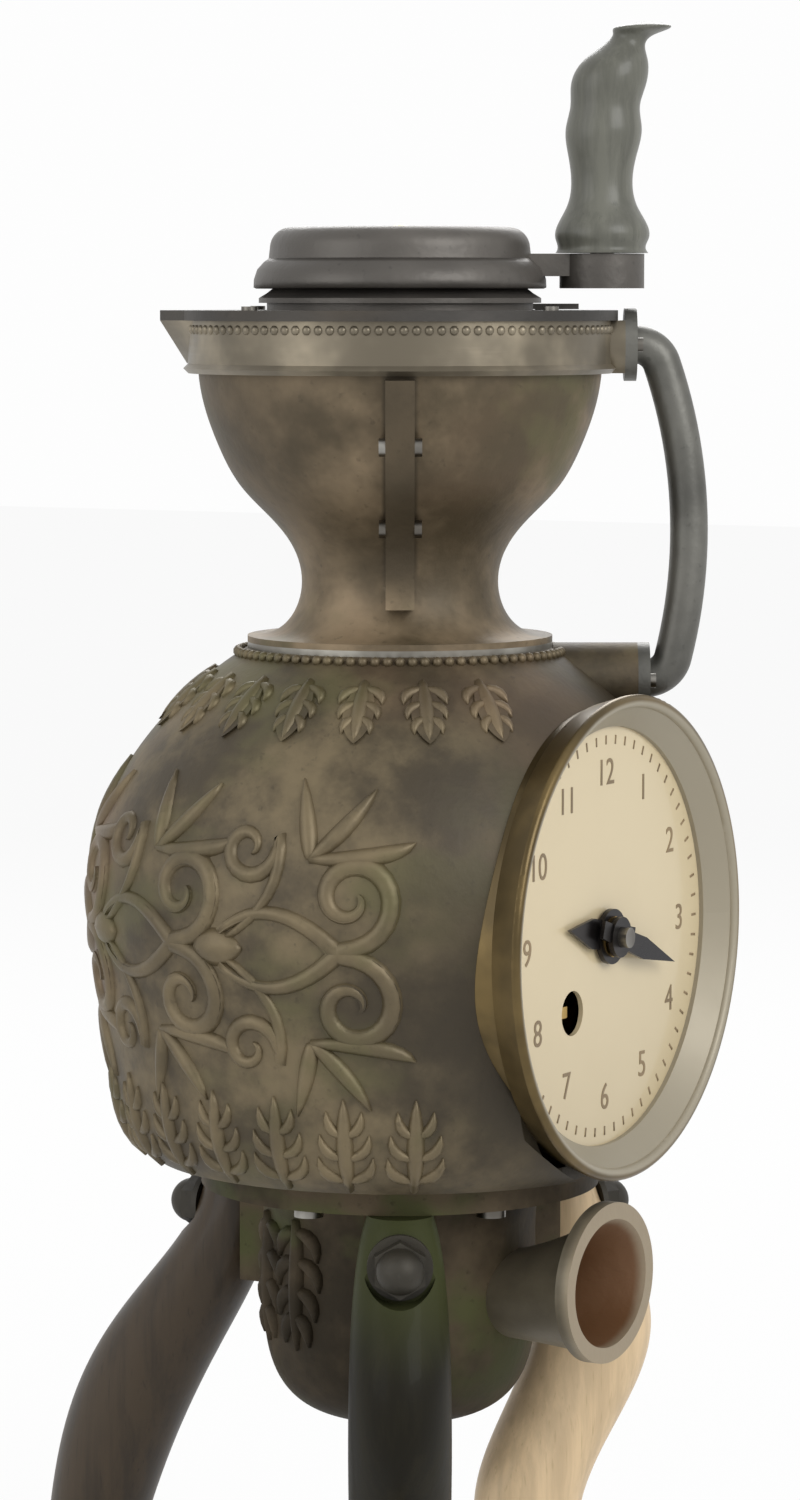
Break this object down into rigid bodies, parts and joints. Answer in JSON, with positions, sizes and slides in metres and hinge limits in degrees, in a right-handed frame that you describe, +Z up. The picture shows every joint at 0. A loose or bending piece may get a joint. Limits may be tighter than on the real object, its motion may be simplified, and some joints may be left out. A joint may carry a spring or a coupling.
{
  "type": "coffee grinder mill",
  "caption": "Footed antique coffee mill: top crank over a split hopper, globe body with a turn-counting dial, side handle, front chute and three curved legs.",
  "frame": {"origin": "on the spindle axis at floor level, the centre of the circle of floor-screw holes", "axes": "+Z up along the spindle, +X out of the dial and the chute"},
  "size_m": [0.1765, 0.1569, 0.4371],
  "materials": {
    "wood_brown": "waxed brown wood",
    "wood_pale": "pale cream wood",
    "wood_dark": "near-black stained wood",
    "iron_black": "dark cast iron",
    "iron_green": "cast iron with green patina",
    "iron_grey": "grey cast iron",
    "iron_olive": "olive-brown cast iron with raised ornament",
    "bronze_brown": "brown patinated casting",
    "pewter": "worn bright band",
    "brass_dark": "darkened brass",
    "brass": "turned brass",
    "steel": "plain steel",
    "steel_blued": "blued steel",
    "tinplate": "tinned sheet",
    "enamel_cream": "cream enamel",
    "horn_grey": "grey-olive stained wood grip"
  },
  "bodies": {
    "mill": {"rear_leg": "wood_brown", "front_leg_left": "wood_pale", "front_leg_right": "wood_dark", "foot_pads": "iron_black", "leg_bolts": "iron_black", "lower_bowl": "iron_green", "discharge_chute": "iron_grey", "bowl_screws": "steel", "globe_body": "iron_olive", "bowl_plate": "iron_grey", "lower_bush": "brass", "grounds_tray": "tinplate", "tray_bush": "brass", "grounds_duct": "tinplate", "ring_burr": "steel", "pinion_bracket": "iron_grey", "bracket_screws": "steel", "dial_case": "brass_dark", "arbor_bush": "brass", "train_pillars": "brass", "train_plate": "brass", "train_screws": "steel", "dial_plate": "enamel_cream", "bezel": "brass_dark", "hopper_handle_half": "bronze_brown", "hopper_lip_half": "bronze_brown", "seam_screws": "steel", "rim_band": "pewter", "lid_plate": "iron_grey", "lid_screws": "steel", "lid_drum": "iron_grey", "upper_bush": "brass", "c_handle": "iron_black", "handle_screws": "steel"},
    "lifter": {"thrust_pin": "steel"},
    "adjuster": {"adjusting_nut": "brass_dark", "nut_screws": "steel"},
    "crank": {"spindle": "steel", "cone_burr": "steel", "sweeper": "steel", "crank_arm": "iron_grey", "crank_nut": "brass", "grip_pin": "steel"},
    "grip": {"grip": "horn_grey"},
    "pinion": {"mitre_pinion": "brass"},
    "arbor": {"mitre_wheel": "brass", "dial_arbor": "steel", "cannon_pinion": "brass", "long_hand": "steel_blued"},
    "side": {"side_wheel": "brass"},
    "hour": {"hour_wheel": "brass", "short_hand": "steel_blued"},
    "shutter": {"fill_shutter": "iron_grey"}
  },
  "joints": [
    {"name": "adjuster_turn", "type": "hinge", "parent": "mill", "child": "adjuster", "pos_m": [0, 0, 0.09], "axis": [0, 0, 1], "range_deg": [-360, 360]},
    {"name": "pin_lift", "type": "slide", "parent": "mill", "child": "lifter", "axis": [0, 0, 1], "range_m": [-0.001, 0.001]},
    {"name": "crank_turn", "type": "hinge", "parent": "lifter", "child": "crank", "pos_m": [0, 0, 0.38], "axis": [0, 0, 1], "continuous": true},
    {"name": "grip_spin", "type": "hinge", "parent": "crank", "child": "grip", "pos_m": [0.0433, 0.025, 0.39], "axis": [0, 0, 1], "continuous": true},
    {"name": "pinion_turn", "type": "hinge", "parent": "mill", "child": "pinion", "pos_m": [0, 0, 0.2], "axis": [0, 0, 1], "continuous": true},
    {"name": "arbor_turn", "type": "hinge", "parent": "mill", "child": "arbor", "pos_m": [0.03, 0, 0.214], "axis": [1, 0, 0], "continuous": true},
    {"name": "side_turn", "type": "hinge", "parent": "mill", "child": "side", "pos_m": [0.035, -0.01697, 0.19703], "axis": [1, 0, 0], "continuous": true},
    {"name": "hour_turn", "type": "hinge", "parent": "mill", "child": "hour", "pos_m": [0.045, 0, 0.214], "axis": [1, 0, 0], "continuous": true},
    {"name": "shutter_turn", "type": "hinge", "parent": "mill", "child": "shutter", "pos_m": [0, 0, 0.367], "axis": [0, 0, 1], "range_deg": [0, 90]}
  ],
  "couplings": [
    {"joint": "pin_lift", "follows": "adjuster_turn", "m_per_rad": -0.00015915},
    {"joint": "pinion_turn", "follows": "crank_turn", "ratio": 1},
    {"joint": "arbor_turn", "follows": "crank_turn", "ratio": 1},
    {"joint": "side_turn", "follows": "crank_turn", "ratio": -0.33333},
    {"joint": "hour_turn", "follows": "crank_turn", "ratio": 0.083333}
  ]
}
